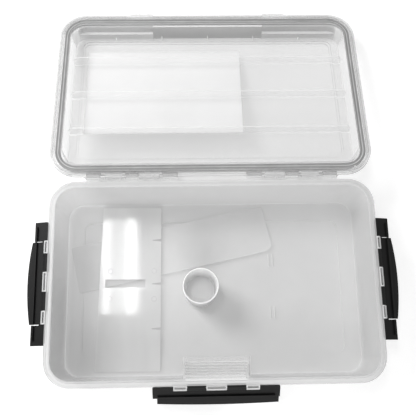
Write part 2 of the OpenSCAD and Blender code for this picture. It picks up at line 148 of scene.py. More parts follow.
class Finishes(bpy.types.PropertyGroup):
    """Colours of the plastics, the seal and the metal"""

    base: colour("Base", "Frosted plastic of the base", (0.70, 0.70, 0.70))
    base_cover: share("Base Cover", "How much each face of the base hides", 0.44)
    # The walls' denser cover is partly painted shade.
    side_cover: share("Side Cover", "How much each face of the base's walls hides", 0.64)
    strip_cover: share("Strip Cover", "How much each face of the hinge strip hides", 0.32)
    lid: colour("Lid", "Frosted plastic of the lid", (0.70, 0.70, 0.70))
    lid_cover: share("Lid Cover", "How much each face of the lid hides", 0.28)
    slope_cover: share("Slope Cover", "How much each face of the lid's sloping walls hides", 0.4)
    hinge_cover: share("Hinge Cover", "How much each face of the lid's hinge side hides", 0.28)
    window_cover: share("Window Cover", "How much the lid hides over the card", 0.05)
    # The pale edge colour is a painted highlight on thin edges; the clear ribs and the lid over the
    # card use it too.
    edge: colour("Edges", "Thin edges of the clear plastic", (0.94, 0.94, 0.94))
    edge_cover: share("Edge Cover", "How much each face of a thin edge hides", 0.7)
    rib_cover: share("Rib Cover", "How much each face of a clear rib hides", 0.07)
    # The front wall's dark colour and dense cover are painted shade.
    wall: colour("Front Wall", "The lid's thick front wall, darkened as painted shade", (0.47, 0.47, 0.47))
    shaded_wall_cover: share("Front Wall Cover", "How much each face of that wall hides", 0.66)
    band: colour("Band", "The lid's outer band, two walls thick", (0.56, 0.56, 0.56))
    band_cover: share("Band Cover", "How much each face of the band hides", 0.40)
    seal: colour("Seal", "Rubber of the seal", (0.30, 0.30, 0.30))
    crest: colour("Seal Crest", "Pale crest of the seal", (0.6, 0.6, 0.6))
    latch: colour("Latch", "Black plastic of the latches", (0.006, 0.006, 0.006))
    steel: colour("Steel", "Wire of the pins", (0.42, 0.42, 0.42))
    divider: colour("Divider", "Glossy plastic of the dividers", (0.91, 0.91, 0.91))
    divider_cover: share("Divider Cover", "How much the slotted divider's faces hide", 0.40)
    long_cover: share("Long Cover", "How much the long divider's faces hide", 0.28)
    # The dividers' edges take the pale edge colour as a painted highlight.
    divider_highlight_edge: share("Divider Edge Cover", "How much the dividers' edges hide", 0.35)
    cup: colour("Cup", "Milky plastic of the cup", (0.96, 0.96, 0.96))
    card: colour("Card", "Coated card", (0.91, 0.91, 0.91))


def sizes(context):
    """The main sizes and what follows from them, in millimetres."""
    b, li, la = context.scene.box_base, context.scene.box_lid, context.scene.box_latch
    s = {
        "hw": b.rim_width / MM / 2, "hd": b.rim_depth / MM / 2, "r": b.corner_radius / MM,
        "top": b.height / MM, "wall": b.wall / MM, "floor": b.floor / MM,
        "inset": b.floor_inset / MM, "skirt": b.skirt / MM,
    }
    s["flange"] = s["top"] - 1.4
    s["skirt_end"] = s["flange"] - s["skirt"]
    s["ring_floor"] = s["floor"] + 1.2
    s["foot"] = s["inset"] - FOOT_OUT
    s["hinge"] = joint_place("lid_hinge")
    s["lid_z"] = s["flange"] + LID_GAP
    s["lid_hw"] = s["hw"] + li.overhang / MM
    s["lid_hd"] = s["hd"] + li.overhang / MM
    s["lid_r"] = s["r"] + li.overhang / MM
    s["lid_h"] = li.height / MM
    s["band"] = li.band / MM
    s["deck"] = s["lid_h"] - li.top / MM
    s["rib"] = li.rib / MM
    s["rib_y"] = [i * li.rib_pitch / MM - RIB_SHIFT for i in (-1, 0, 1)]
    s["latch_z"] = joint_place("front_latch_hinge").z
    s["latch_r"], s["latch_pin"] = la.knuckle / MM, la.pin / MM
    s["latch_half"], s["plate"] = la.length / MM / 2, la.plate / MM
    return s


# ------------------------------------------------------------------ mesh tools, in millimetres


def rounded(profile):
    """Softens each (inset, height, radius) corner of a profile into a short arc."""
    out, n = [], len(profile)
    for i, (x, z, r) in enumerate(profile):
        p = Vector((x, z))
        before, after = Vector(profile[i - 1][:2]) - p, Vector(profile[(i + 1) % n][:2]) - p
        if not r:
            out.append((x, z))
            continue
        half = max(0.05, before.angle(after) / 2)
        reach = min(r / math.tan(half), before.length * 0.48, after.length * 0.48)
        a, b = p + before.normalized() * reach, p + after.normalized() * reach
        for k in range(ARC_STEPS + 1):
            t = k / ARC_STEPS
            q = a * (1 - t) ** 2 + p * 2 * t * (1 - t) + b * t * t
            out.append((q.x, q.y))
    return out


def ring(hw, hd, r, steps=CORNER_STEPS):
    """A rounded rectangle, counter-clockwise from the right."""
    out = []
    for q in range(4):
        sx, sy = (1, 1, -1, -1)[(q + 1) % 4], 1 if q < 2 else -1
        for i in range(steps + 1):
            a = math.radians(90 * (q + i / steps))
            out.append((sx * (hw - r) + r * math.cos(a), sy * (hd - r) + r * math.sin(a)))
    return out


def loft(rings, tube=False):
    """A closed skin through rings of equal count: capped at both ends, or joined into a tube."""
    bm = bmesh.new()
    rows = [[bm.verts.new(p) for p in points] for points in rings]
    n = len(rows[0])
    pairs = list(zip(rows, rows[1:])) + ([(rows[-1], rows[0])] if tube else [])
    for low, high in pairs:
        for i in range(n):
            j = (i + 1) % n
            bm.faces.new((low[i], low[j], high[j], high[i]))
    if not tube:
        bm.faces.new(rows[0])
        bm.faces.new(list(reversed(rows[-1])))
    bmesh.ops.recalc_face_normals(bm, faces=bm.faces)
    return bm


def ring_stack(hw, hd, r, profile, tube=False):
    """Follows a profile of insets and heights round a rounded rectangle."""
    return loft([[(x, y, z) for x, y in ring(hw - k, hd - k, r - k)] for k, z in profile], tube)


def circle(r, sides):
    """Points round a circle, from the right."""
    turns = [2 * math.pi * i / sides for i in range(sides)]
    return [(r * math.cos(a), r * math.sin(a)) for a in turns]


def soften(bm, width, segments=2, angle=30):
    """Rounds the sharp edges of a mesh."""
    if width:
        edges = [e for e in bm.edges
                 if len(e.link_faces) == 2 and e.calc_face_angle(0) > math.radians(angle)]
        bmesh.ops.bevel(bm, geom=edges, offset=width, segments=segments, affect="EDGES",
                        profile=0.5, clamp_overlap=True)
    return bm


def slab(outline, z0, z1, width=0.0):
    """An outline in X and Y between two heights."""
    return soften(loft([[(x, y, z) for x, y in outline] for z in (z0, z1)]), width)


def drawn(x0, x1, outline, width=0.0):
    """An outline in Y and Z drawn out along X."""
    return soften(loft([[(x, y, z) for y, z in outline] for x in (x0, x1)]), width)


def block(low, high, width=0.0):
    """A box between two corners."""
    (x0, y0, z0), (x1, y1, z1) = low, high
    return slab([(x0, y0), (x1, y0), (x1, y1), (x0, y1)], z0, z1, width)


def rod(x0, x1, r, y=0.0, z=0.0, width=0.0, sides=40):
    """A cylinder along X."""
    return drawn(x0, x1, [(y + a, z + b) for a, b in circle(r, sides)], width)


def plate_outline(half_x, half_y, r, x=0.0, y=0.0):
    """A rounded rectangle round a middle point, from its half sizes."""
    return [(x + px, y + py) for px, py in ring(half_x, half_y, r, 8)]


def turned(profile, sides=96):
    """A profile of (radius, height) turned about Z and closed at both ends."""
    return loft([[(x, y, z) for x, y in circle(r, sides)] for r, z in profile])


def placed(bm, matrix):
    """Moves a mesh."""
    bm.transform(matrix)
    return bm


def together(meshes):
    """Separate closed meshes that don't touch, as one."""
    whole = bmesh.new()
    for bm in meshes:
        kept = bpy.data.meshes.new("part")
        bm.to_mesh(kept)
        bm.free()
        whole.from_mesh(kept)
        bpy.data.meshes.remove(kept)
    return whole


def unlinked(name, bm):
    """A mesh as an object that no scene holds yet."""
    mesh = bpy.data.meshes.new(name)
    bm.to_mesh(mesh)
    bm.free()
    return bpy.data.objects.new(name, mesh)


def carved(body, steps):
    """Joins and cuts closed meshes in order: steps are ("UNION" or "DIFFERENCE", mesh)."""
    main = unlinked("carved", body)
    tools = []
    scene = bpy.context.scene.collection
    scene.objects.link(main)
    for how, tool in steps:
        other = unlinked("tool", tool)
        scene.objects.link(other)
        tools.append(other)
        step = main.modifiers.new("step", "BOOLEAN")
        step.operation, step.solver, step.object = how, "MANIFOLD", other
    graph = bpy.context.evaluated_depsgraph_get()
    graph.update()
    done = bmesh.new()
    done.from_mesh(main.evaluated_get(graph).to_mesh())
    for o in [main, *tools]:
        mesh = o.data
        bpy.data.objects.remove(o)
        bpy.data.meshes.remove(mesh)
    if any(len(e.link_faces) != 2 for e in done.edges):
        raise RuntimeError("a carved mesh came out open")
    bmesh.ops.dissolve_limit(done, angle_limit=math.radians(0.6), verts=done.verts,
                             edges=done.edges, delimit=set())
    return done


def show(name, bm, finish, body, slot, *nodes, sharp=32.0):
    """Turns a mesh in millimetres into a piece that rides on a body and stands for CAD nodes.

    The finish is one material, or a list that the faces' own material numbers choose from.
    """
    bm.transform(Matrix.Scale(MM, 4))
    for f in bm.faces:
        f.smooth = True
    for e in bm.edges:
        if len(e.link_faces) == 2 and e.calc_face_angle(0) > math.radians(sharp):
            e.smooth = False
    o = unlinked(name, bm)
    bpy.context.scene.collection.objects.link(o)
    even = o.modifiers.new("even shading", "WEIGHTED_NORMAL")
    even.keep_sharp = True
    for each in finish if isinstance(finish, list) else [finish]:
        o.data.materials.append(each)
    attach(o, body)
    if nodes:
        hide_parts(*nodes)


# ------------------------------------------------------------------ finishes

# Where along Y, in metres, a wall's cover starts to change toward the rear, and where it ends: a
# painted light that clears the rear wall.
PAINTED_LIGHT_START, PAINTED_LIGHT_END = -0.03, 0.09


def feed(tree, target, sockets):
    """Sets a shader node's sockets: each takes a value, or another node's output as a link."""
    for name, value in sockets.items():
        if isinstance(value, bpy.types.NodeSocket):
            tree.links.new(value, target.inputs[name])
        else:
            target.inputs[name].default_value = value


def node(tree, kind, sockets=None, **settings):
    """Adds a shader node with its settings and sockets."""
    made = tree.nodes.new("ShaderNode" + kind)
    for name, value in settings.items():
        setattr(made, name, value)
    feed(tree, made, sockets or {})
    return made


def moulded(name, tint, cover=1.0, rough=0.4, drift=0.06, drift_scale=9.0, grain=0.03,
            grain_scale=900.0, rough_drift=0.08, stretch=(1, 1, 1), level=0.5, painted_light_rear_cover=None):
    """A surface with slow drifts of shade and gloss and a fine grain in its bump.

    With a rear cover, what it hides changes from the object's middle to its rear, as painted light on
    a rear wall.
    """
    found = bpy.data.materials.get(name)
    if found:
        return found
    made = bpy.data.materials.new(name)
    made.use_nodes = True
    tree = made.node_tree
    where = node(tree, "TexCoord")
    spread = node(tree, "Mapping", {"Vector": where.outputs["Object"], "Scale": stretch})
    slow = node(tree, "TexNoise", {"Vector": spread.outputs["Vector"], "Scale": drift_scale,
                                   "Detail": 4.0})
    shades = node(tree, "ValToRGB", {"Fac": slow.outputs["Fac"]})
    for stop, place, k in zip(shades.color_ramp.elements, (0.3, 0.7), (1 - drift, 1 + drift)):
        stop.position = place
        stop.color = (*[min(1.0, c * k) for c in tint], 1)
    gloss = node(tree, "MapRange", {"Value": slow.outputs["Fac"], "To Min": rough - rough_drift,
                                    "To Max": rough + rough_drift})
    fine = node(tree, "TexNoise", {"Vector": spread.outputs["Vector"], "Scale": grain_scale,
                                   "Detail": 3.0})
    bump = node(tree, "Bump", {"Height": fine.outputs["Fac"], "Strength": grain,
                               "Distance": 0.0004})
    shader = tree.nodes["Principled BSDF"]
    feed(tree, shader, {"Base Color": shades.outputs["Color"],
                        "Roughness": gloss.outputs["Result"], "Normal": bump.outputs["Normal"],
                        "Alpha": cover, "Specular IOR Level": level})
    if painted_light_rear_cover is not None:
        apart = node(tree, "SeparateXYZ", {"Vector": where.outputs["Object"]})
        fade = node(tree, "MapRange", {"Value": apart.outputs["Y"], "From Min": PAINTED_LIGHT_START,
                                       "From Max": PAINTED_LIGHT_END, "To Min": cover,
                                       "To Max": painted_light_rear_cover})
        feed(tree, shader, {"Alpha": fade.outputs["Result"]})
    return made


def base_plastic(context):
    f = context.scene.box_finish
    return moulded("Frosted base plastic", f.base, f.base_cover, rough=0.22, rough_drift=0.05)


def side_plastic(context):
    """The base's walls, denser than its floor where seen at a slant and as painted shade; clearer at
    the rear as painted light.
    """
    f = context.scene.box_finish
    return moulded("Frosted wall plastic with painted shade", f.base, f.side_cover, rough=0.22,
                   rough_drift=0.05, painted_light_rear_cover=f.base_cover)


def lid_plastic(context):
    f = context.scene.box_finish
    return moulded("Frosted lid plastic", f.lid, f.lid_cover, rough=0.3, drift=0.05)


def slope_plastic(context):
    """The lid's sloping walls, denser than its top."""
    f = context.scene.box_finish
    return moulded("Sloping lid wall plastic", f.lid, f.slope_cover, rough=0.3, drift=0.05)


def highlight_edge_plastic(context):
    """Thin lips, rib edges and knuckles, made pale as a painted highlight."""
    f = context.scene.box_finish
    return moulded("Painted highlight edge", f.edge, f.edge_cover, rough=0.22, drift=0.03)


def strip_plastic(context):
    """The thin strip behind the base's rim, under the hinge."""
    f = context.scene.box_finish
    return moulded("Hinge strip plastic", f.base, f.strip_cover, rough=0.26, drift=0.04)


def hinge_plastic(context):
    """The lid's own hinge knuckles and the rear face that carries them."""
    f = context.scene.box_finish
    return moulded("Hinge knuckle plastic", f.divider, f.hinge_cover, rough=0.26, drift=0.04)


def rib_plastic(context):
    """The lid's thin ribs and the skin of the finger recess, clearer than the walls."""
    f = context.scene.box_finish
    return moulded("Clear rib plastic", f.edge, f.rib_cover, rough=0.16, drift=0.04)


def window_plastic(context):
    """The lid's top where the card lies against it and the frosting shows least."""
    f = context.scene.box_finish
    return moulded("Lid plastic over the card", f.edge, f.window_cover, rough=0.26, drift=0.04)


def shaded_wall_plastic(context):
    """The lid's stepped front wall, the thickest of its walls, darkened as painted shade."""
    f = context.scene.box_finish
    return moulded("Lid front wall with painted shade", f.wall, f.shaded_wall_cover, rough=0.32)


def band_plastic(context):
    """The lid's outer band, two walls thick."""
    f = context.scene.box_finish
    return moulded("Lid band plastic", f.band, f.band_cover, rough=0.28, drift=0.05)


# The dividers' edges, in the pale edge colour as a painted highlight.
def divider_highlight_edge(context):
    f = context.scene.box_finish
    return moulded("Divider edge", f.edge, f.divider_highlight_edge, rough=0.12, drift=0.04,
                   drift_scale=16.0)


def divider_plastic(context):
    f = context.scene.box_finish
    return moulded("Glossy divider plastic", f.divider, f.divider_cover, rough=0.06, drift=0.05,
                   drift_scale=16.0, rough_drift=0.02, grain=0.1, grain_scale=28.0,
                   stretch=(2.2, 0.5, 1))


def long_plastic(context):
    """The long divider, less polished, so no lamp shows in it."""
    f = context.scene.box_finish
    return moulded("Worn divider plastic", f.divider, f.long_cover, rough=0.3, drift=0.05,
                   drift_scale=16.0, grain=0.1, grain_scale=28.0)


def black_plastic(context):
    return moulded("Satin black plastic", context.scene.box_finish.latch, rough=0.42, drift=0.2,
                   drift_scale=60.0, grain=0.25, grain_scale=1500.0, level=0.16)


def seal_rubber(context):
    return moulded("Grey seal rubber", context.scene.box_finish.seal, rough=0.62, drift=0.12,
                   drift_scale=40.0, grain=0.2, grain_scale=1200.0)


def seal_bead(context):
    """The crest of the seal, paler than its sides."""
    return moulded("Pale seal crest", context.scene.box_finish.crest, rough=0.5, drift=0.15,
                   drift_scale=40.0, grain=0.2, grain_scale=1200.0)


def pin_wire(context):
    wire = moulded("Drawn steel wire", context.scene.box_finish.steel, rough=0.34, drift=0.1,
                   drift_scale=300.0, grain=0.2, grain_scale=700.0, stretch=(0.05, 1, 1))
    wire.node_tree.nodes["Principled BSDF"].inputs["Metallic"].default_value = 1.0
    return wire


def cup_plastic(context):
    return moulded("Milky cup plastic", context.scene.box_finish.cup, rough=0.3, drift=0.03,
                   drift_scale=30.0, grain=0.05)


def coated_card(context):
    return moulded("Coated card", context.scene.box_finish.card, rough=0.5, drift=0.02,
                   drift_scale=25.0, grain=0.2, grain_scale=2500.0)


# ------------------------------------------------------------------ the base

# In millimetres: spans along a latch's pin of the base's knuckles and of the latch's own teeth
# between them, spans along the hinge, and the radius of the hinge's knuckles and of its pins.
KNUCKLES = [(-10.3, 10.3), (30.0, 43.6), (-43.6, -30.0)]
TEETH = [(10.3, 30.0), (-30.0, -10.3)]
BASE_HINGE = [(37.5, 54.0), (80.0, 94.0), (120.5, 136.0)]
LID_HINGE = [(57.0, 79.2), (97.0, 116.0)]
HINGE_R, HINGE_PIN = 3.19, 1.25
# Radial clearance of a pin in a piece that holds it, and in one that turns on it.
HELD, TURNS = 0.02, 0.05
# How far a side latch's pin stands out past the rim.
SIDE_PIN_OUT = 0.8

# The finger recess: its two sides, its depth, its lowest point, how far its roof is under the
# skirt, how tall the upright part of its back is, and its grip bars.
RECESS = (-31.3, 33.3)
RECESS_DEEP, RECESS_LOW, RECESS_DROP, RECESS_BACK = 27.2, 14, 3.6, 6
BARS = 5

# The floor's middle panel, which lies lower than the floor round it: half its width and depth, the
# radius of its corners, and how much less its half width and depth are on the floor's upper side.
PANEL_HALF, PANEL_R, PANEL_STEP = (147, 77), 10, 2
SIDES = {"front": 0, "left": -90, "right": 90}


def both(spans):
    """Each span and its mirror image."""
    return [s for a, b in spans for s in ((a, b), (-b, -a))]


def at_latch(s, side):
    """From a latch's own frame, outward -Y and its pin along X, to the box."""
    out = -joint_place("front_latch_hinge").y if side == "front" else s["hw"] + SIDE_PIN_OUT
    return (Matrix.Rotation(math.radians(SIDES[side]), 4, "Z")
            @ Matrix.Translation((0, -out, s["latch_z"])))


def base_skin(s):
    """Underside, outer walls, skirt, flange, sealing lip and inner walls in one skin."""
    step = s["ring_floor"] - s["floor"]
    foot, f, t = s["foot"], s["flange"], s["top"]
    return ring_stack(s["hw"], s["hd"], s["r"], rounded([
        (s["inset"] + 0.8, step, 0), (foot - s["wall"] - 0.05, step, 3.3),
        (5, f - s["wall"], 0.6), (2, f - s["wall"], 0.5), (2, s["skirt_end"], 0.35),
        (0, s["skirt_end"], 0.45), (0, f, 0.9), (5.1, f, 0.4), (5.35, t, 0.55),
        (7.15, t, 0.6), (foot + 0.15, s["ring_floor"], 3.2), (s["inset"], s["ring_floor"], 0)]))


def recess_outline(s):
    """The finger recess from the side."""
    y, foot, deep, top = -s["hd"], s["foot"], RECESS_DEEP, s["skirt_end"] - RECESS_DROP
    return [(y - 1, top), (y + deep, top), (y + deep, top - RECESS_BACK),
            (y + foot - 1, RECESS_LOW), (y - 1, RECESS_LOW)]


def recess_lump(s):
    """The plastic round the finger recess, from the side."""
    y, foot, w = -s["hd"], s["foot"], s["wall"]
    deep, top = RECESS_DEEP + w, s["skirt_end"] - RECESS_DROP
    return [(y + 6.3, top + w), (y + deep, top + w), (y + deep, top - RECESS_BACK - 1),
            (y + foot + w, RECESS_LOW - w), (y + foot - 1.4, RECESS_LOW - w)]


def recess_slope(s):
    """The foot of the recess's sloping back, and the run from there to the slope's top."""
    foot = Vector((0, s["foot"] - 1 - s["hd"], RECESS_LOW))
    top = Vector((0, RECESS_DEEP - s["hd"], s["skirt_end"] - RECESS_DROP - RECESS_BACK))
    return foot, top - foot


def recess_bars(s):
    """Grip bars across the recess's sloping back, which stand out on both its faces."""
    foot, run = recess_slope(s)
    for i in range(1, BARS + 1):
        bar = block((RECESS[0] - 0.6, -0.7, -s["wall"] - 0.25), (RECESS[1] + 0.6, 0.7, 1), 0.3)
        yield placed(bar, Matrix.Translation(foot + run * (i / (BARS + 1)))
                     @ Matrix.Rotation(math.atan2(run.z, run.y), 4, "X"))


def floor_ribs(s):
    """Short ribs in pairs on the floor's middle panel."""
    for x in (67, -67):
        for y in (-29.5, 29.5):
            for d in (-2.3, 2.3):
                yield block((x + d - 0.6, y - 7, s["floor"] - 0.3),
                            (x + d + 0.6, y + 7, s["floor"] + 1.1), 0.25)


def latch_seats(s, side):
    """Knuckles under the rim that hold a latch's pin."""
    for a, b in KNUCKLES:
        yield placed(rod(a, b, s["latch_r"], width=0.35), at_latch(s, side))
        yield placed(block((a, 0, s["skirt_end"] - s["latch_z"]),
                           (b, 1.4, s["flange"] - s["latch_z"] - 0.05)), at_latch(s, side))


def knuckle_pockets(s, side):
    """Moulding windows in the tops of the knuckles, over the pin."""
    for a, b in KNUCKLES:
        yield placed(block((a + 1.2, -1.9, -1.9), (b - 1.2, 0.5, 6)), at_latch(s, side))


def latch_room(s, side):
    """The pin's bore through the knuckles, and room for the latch's teeth."""
    yield placed(rod(-44.6, 44.6, s["latch_pin"] + HELD), at_latch(s, side))
    for a, b in TEETH:
        yield placed(rod(a, b, s["latch_r"] + 0.2, width=0.3), at_latch(s, side))


def strip_top(s):
    """Height of the strip under the hinge, with room for the lid's knuckles."""
    return s["hinge"].z - HINGE_R - 0.6


def hinge_strip(s):
    """The flat strip under the hinge, with flared ends."""
    near, far, top = s["hd"] - 0.6, s["hinge"].y + 0.85, strip_top(s)
    return slab([(-133.5, near), (133.5, near), (140, far), (-140, far)], top - 1.9, top, 0.4)


def hinge_knuckles(s):
    """The base's knuckles, each with the block that carries it on the strip."""
    h, top = s["hinge"], strip_top(s)
    for a, b in both(BASE_HINGE):
        yield rod(a, b, HINGE_R, h.y, h.z, 0.35)
        yield block((a, s["hd"] - 0.6, top - 1.0), (b, h.y, h.z - 2.1))


def base_steps(s):
    """What is joined to the base's skin and cut from it, in order."""
    step, floor = s["ring_floor"] - s["floor"], s["floor"]
    under = plate_outline(*PANEL_HALF, PANEL_R)
    over = plate_outline(*(v - PANEL_STEP for v in PANEL_HALF), PANEL_R - PANEL_STEP)
    steps = [("UNION", drawn(RECESS[0] - s["wall"], RECESS[1] + s["wall"], recess_lump(s), 0.5)),
             ("UNION", slab(under, 0, step + 0.6, 0.4)),
             ("DIFFERENCE", drawn(*RECESS, recess_outline(s))),
             ("DIFFERENCE", slab(over, floor, floor + step + 0.6)),
             ("UNION", together(recess_bars(s)))]
    for side in SIDES:
        seats = list(latch_seats(s, side))
        steps += [("UNION", together(seats[0::2])), ("UNION", together(seats[1::2]))]
    knuckles, h = list(hinge_knuckles(s)), s["hinge"]
    steps += [("UNION", hinge_strip(s)), ("UNION", together(knuckles[1::2])),
              ("UNION", together(knuckles[0::2])), ("UNION", together(floor_ribs(s))),
              ("DIFFERENCE", rod(-s["hw"], s["hw"], HINGE_PIN + HELD, h.y, h.z))]
    for side in SIDES:
        steps += [("DIFFERENCE", together(knuckle_pockets(s, side)))]
        steps += [("DIFFERENCE", tool) for tool in latch_room(s, side)]
    return steps


def sort_base_faces(bm, s):
    """Numbers the base's faces.

    0 floor and rim, 1 edges with a painted highlight, 2 skin of the recess, 3 strip under the hinge,
    4 walls.
    """
    foot, run = recess_slope(s)
    out = Vector((0, -run.z, run.y)).normalized()
    middle, half = (RECESS[0] + RECESS[1]) / 2, (RECESS[1] - RECESS[0]) / 2
    for f in bm.faces:
        c, n = f.calc_center_median(), f.normal
        depth = (c - foot).dot(out)
        bar = 0.12 < depth < 1.3 or -2.5 < depth < -2.0 and 18 < c.z < 44
        corner = abs(abs(c.x - middle) - half - 2) < 0.5
        recess = (max(abs(v.co.x - middle) for v in f.verts) < half + 3.2
                  and c.y < 30 - s["hd"] and 11 < c.z < 56)
        seat = max(abs(c.x) - s["hw"], -c.y - s["hd"]) > 0.25
        ridge = (abs(n.z) < 0.8 and s["floor"] - 0.1 < c.z < s["ring_floor"] - 0.05
                 and abs(c.x) < PANEL_HALF[0] + 3 and abs(c.y) < PANEL_HALF[1] + 3)
        # Knuckle seats, the floor panel's step and the recess's bars and corners get the pale edge
        # finish as a painted highlight.
        if seat or ridge:
            f.material_index = 1
        elif recess:
            f.material_index = 1 if bar or corner else 2
        elif c.y > s["hd"] + 0.2:
            f.material_index = 3
        # The walls get the denser wall finish: partly painted shade, and clearer toward the rear as
        # painted light.
        elif abs(n.z) < 0.6 and s["ring_floor"] + 1.5 < c.z < s["flange"] - 1:
            f.material_index = 4


class UTILITYBOX_OT_base(bpy.types.Operator):
    """Moulds the deep base, with its rim, finger recess, knuckles and stepped floor"""

    bl_idname = "utility_box.base"
    bl_label = "Base"

    def execute(self, context):
        s = sizes(context)
        shell = carved(base_skin(s), base_steps(s))
        sort_base_faces(shell, s)
        show("base_shell_moulded", shell,
             [base_plastic(context), highlight_edge_plastic(context), rib_plastic(context),
              strip_plastic(context), side_plastic(context)], "base", "base_clear",
             "base_shell")
        return {"FINISHED"}


# ------------------------------------------------------------------ the lid

# In millimetres: where the short ribs stand along the long walls and how deep they are, half the
# width of the front wall's tall middle, how far in the lower ends stop, and the card's middle.
TICKS = (-113, -56.5, 0, 56.5, 113)
TICK_IN, TICK_DEEP = 13.8, 5
LEDGE_HALF, LEDGE_END = 67, 20.4
CARD_MIDDLE = (-54, -14.4)


def card_half(context):
    """Half the card's width and depth."""
    p = context.scene.box_loose
    return p.card_width / MM / 2, p.card_depth / MM / 2


def open_lid(s):
    """From the lid's shut place to where it lies open."""
    h = Matrix.Translation(s["hinge"])
    return h @ Matrix.Rotation(-math.radians(opened_by("lid_hinge")), 4, "X") @ h.inverted()


def lid_skin(s):
    """Inner deck, walls, seal channel, outer band and top in one skin."""
    d, b, h, z = s["deck"], s["band"], s["lid_h"], s["lid_z"]
    path = rounded([
        (18.2, d, 0), (15.8, d, 2.0), (13.4, 0, 0.45), (11.4, 0, 0.3), (11.4, 5, 0.25),
        (5.6, 5, 0.25), (5.6, 0, 0.3), (3.8, 0, 0.3), (3.8, b - 2, 0.3), (2, b - 2, 0.3),
        (2, 0, 0.3), (0, 0, 0.5), (0, b, 0.9), (11.6, b, 0.8), (14.2, h, 1.9), (16.2, h, 0)])
    return ring_stack(s["lid_hw"], s["lid_hd"], s["lid_r"], [(k, z + v) for k, v in path])


def lid_ribs(s):
    """Three long ribs across the lid, with rounded free edges."""
    low, high = s["lid_z"] + 9, s["lid_z"] + s["deck"] + 0.6
    wide, narrow, mid = s["lid_hw"] - 14.4, s["lid_hw"] - 20.4, s["lid_hw"] - 25.1
    outline = [(-narrow, low), (narrow, low), (wide, low + 6), (wide, high), (mid, high),
               (mid, high - 1.5), (-mid, high - 1.5), (-mid, high), (-wide, high),
               (-wide, low + 6)]
    for y in s["rib_y"]:
        rib = loft([[(x, y + d, z) for x, z in outline] for d in (-s["rib"] / 2, s["rib"] / 2)])
        yield soften(rib, 0.35)


def lid_ticks(s):
    """Short upright ribs along the two long walls."""
    low = s["lid_z"] + s["lid_h"] / 2 + 6
    high = s["lid_z"] + s["deck"] + 0.6
    near, far = s["lid_hd"] - TICK_IN - TICK_DEEP, s["lid_hd"] - TICK_IN
    for x in TICKS:
        yield block((x - 0.6, near, low), (x + 0.6, far, high), 0.2)
        yield block((x - 0.6, -far, low), (x + 0.6, -near, high), 0.2)


def lid_ledges(s):
    """The stepped front wall: a tall middle and two lower ends."""
    low, high = s["lid_z"] + s["lid_h"] / 2, s["lid_z"] + s["deck"] + 0.6
    y = -s["lid_hd"]
    for a, b in both([(LEDGE_HALF, s["lid_hw"] - LEDGE_END)]):
        yield block((a, y + 14.2, low), (b, y + 18.4, high), 0.3)
    yield block((-LEDGE_HALF, y + 12.8, s["lid_z"] + 2), (LEDGE_HALF, y + 16.2, high), 0.3)


def lid_tabs(s):
    """Guards on the front edge, beside the latch."""
    y, z, half = -s["lid_hd"], s["lid_z"], s["latch_half"]
    for m in (1, -1):
        outline = [(m * (half + 2), y + 0.6), (m * (half + 2), y - 2.6),
                   (m * (half + 25), y - 2.6), (m * (half + 36), y + 0.6)]
        yield slab(outline[::m], z + 0.4, z + s["band"] - 0.8, 0.4)


def score(bm, faces, point, normal):
    """Cuts some faces along a plane, without changing the shape."""
    parts = set(faces)
    parts.update(e for f in faces for e in f.edges)
    parts.update(v for f in faces for v in f.verts)
    bmesh.ops.bisect_plane(bm, geom=list(parts), plane_co=point, plane_no=normal)


def sort_lid_faces(bm, s, half):
    """Numbers the lid's faces.

    0 plain, 1 edges with a painted highlight, 2 clear ribs, 3 over the card, 4 front wall with
    painted shade, 5 outer band, 6 hinge, 7 sloping walls.
    """
    z, deck = s["lid_z"], s["lid_z"] + s["deck"]
    x, y = CARD_MIDDLE
    for point, normal in (((x - half[0], 0, 0), (1, 0, 0)), ((x + half[0], 0, 0), (1, 0, 0)),
                          ((0, y - half[1], 0), (0, 1, 0)), ((0, y + half[1], 0), (0, 1, 0))):
        top = [f for f in bm.faces
               if abs(f.normal.z) > 0.9 and f.calc_center_median().z > deck - 2]
        score(bm, top, point, normal)
    for f in bm.faces:
        c, n = f.calc_center_median(), f.normal
        out = max(abs(c.x) - s["lid_hw"], abs(c.y) - s["lid_hd"])
        rib = min(abs(c.y - middle) for middle in s["rib_y"])
        tick = min(abs(c.x - middle) for middle in TICKS)
        ledge = c.y < 19.5 - s["lid_hd"] and abs(c.x) < s["lid_hw"] - 20 and out < -11
        rear = c.y > s["lid_hd"] - 3
        # Lips, rib undersides, ticks and the ledges' lower ends get the pale edge finish as a painted
        # highlight.
        if -14 < out < (0.1 if rear else -2.2) and c.z < z + 0.7 and n.z < -0.5:
            f.material_index = 1
        elif rib < s["rib"] / 2 + 0.1 and out < -14 and c.z < deck - 0.3:
            f.material_index = 1 if n.z < -0.5 else 2
        elif (tick < 0.7 and -18.9 < out < -13.7 and z + 18 < c.z < deck + 0.1
              and f.calc_area() < 80):
            f.material_index = 1
        elif (abs(n.z) > 0.9 and c.z > deck - 2 and abs(c.x - x) < half[0]
              and abs(c.y - y) < half[1]):
            f.material_index = 3
        elif ledge and abs(c.x) > LEDGE_HALF and n.z < -0.5 and c.z < z + 14:
            f.material_index = 1
        # The front wall's upright faces get the dark wall finish as painted shade.
        elif ledge and abs(n.y) > 0.5 and c.z > z + 1 and (
                abs(c.x) < LEDGE_HALF + 0.5 or c.y < 17 - s["lid_hd"]):
            f.material_index = 4
        elif -13.3 < out < 0.1 and c.z < z + s["band"] + 0.2:
            f.material_index = 6 if c.y > s["lid_hd"] - 0.6 else 5
        elif out > 0.1 and c.y > 0:
            f.material_index = 6
        elif -19 < out < -13.3 and abs(n.z) < 0.8:
            f.material_index = 7


